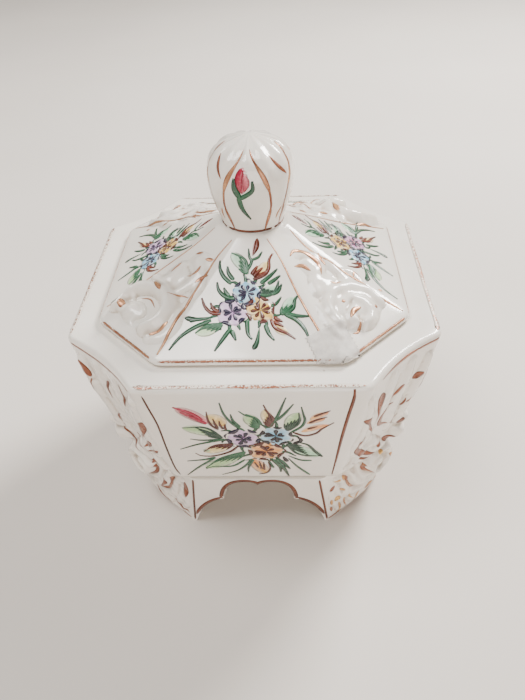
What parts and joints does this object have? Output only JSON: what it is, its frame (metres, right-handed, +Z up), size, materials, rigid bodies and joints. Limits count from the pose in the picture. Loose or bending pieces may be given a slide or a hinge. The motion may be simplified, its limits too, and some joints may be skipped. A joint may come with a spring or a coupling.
{
  "type": "porcelain trinket box",
  "caption": "Footed square porcelain trinket box with scooped corners, scalloped foot arches, raised scrolls and a lift-off pyramid lid with a bulb knob.",
  "frame": {"origin": "on the table, under the middle of the box", "axes": "+Z up through the knob, -Y towards the front panel, +X to the right seen from the front"},
  "size_m": [0.1036, 0.1036, 0.116],
  "materials": {
    "glazed_porcelain": "glossy clear glaze on cream-white porcelain, painted with flowers and lustre lines",
    "bare_porcelain": "unglazed matte porcelain",
    "gilded_relief": "glossy glaze over raised scrolls, touched with brown-gold lustre",
    "clear_tape": "matte translucent adhesive tape"
  },
  "bodies": {
    "box": {"vessel_body": "glazed_porcelain", "foot_ring": "glazed_porcelain", "body_scroll_back_right": "gilded_relief", "body_scroll_back_left": "gilded_relief", "body_scroll_front_left": "gilded_relief", "body_scroll_front_right": "gilded_relief", "foot_scroll_back_right": "gilded_relief", "foot_scroll_back_left": "gilded_relief", "foot_scroll_front_left": "gilded_relief", "foot_scroll_front_right": "gilded_relief"},
    "lid": {"lid_shell": "glazed_porcelain", "lid_locating_flange": "bare_porcelain", "lid_knob": "glazed_porcelain", "lid_scroll_back_right": "gilded_relief", "lid_scroll_back_left": "gilded_relief", "lid_scroll_front_left": "gilded_relief", "lid_scroll_front_right": "gilded_relief", "clear_tape_strip": "clear_tape"}
  },
  "joints": [
    {"name": "lid_lift", "type": "slide", "parent": "box", "child": "lid", "axis": [0, 0, 1], "range_m": [0, 0.06]}
  ]
}
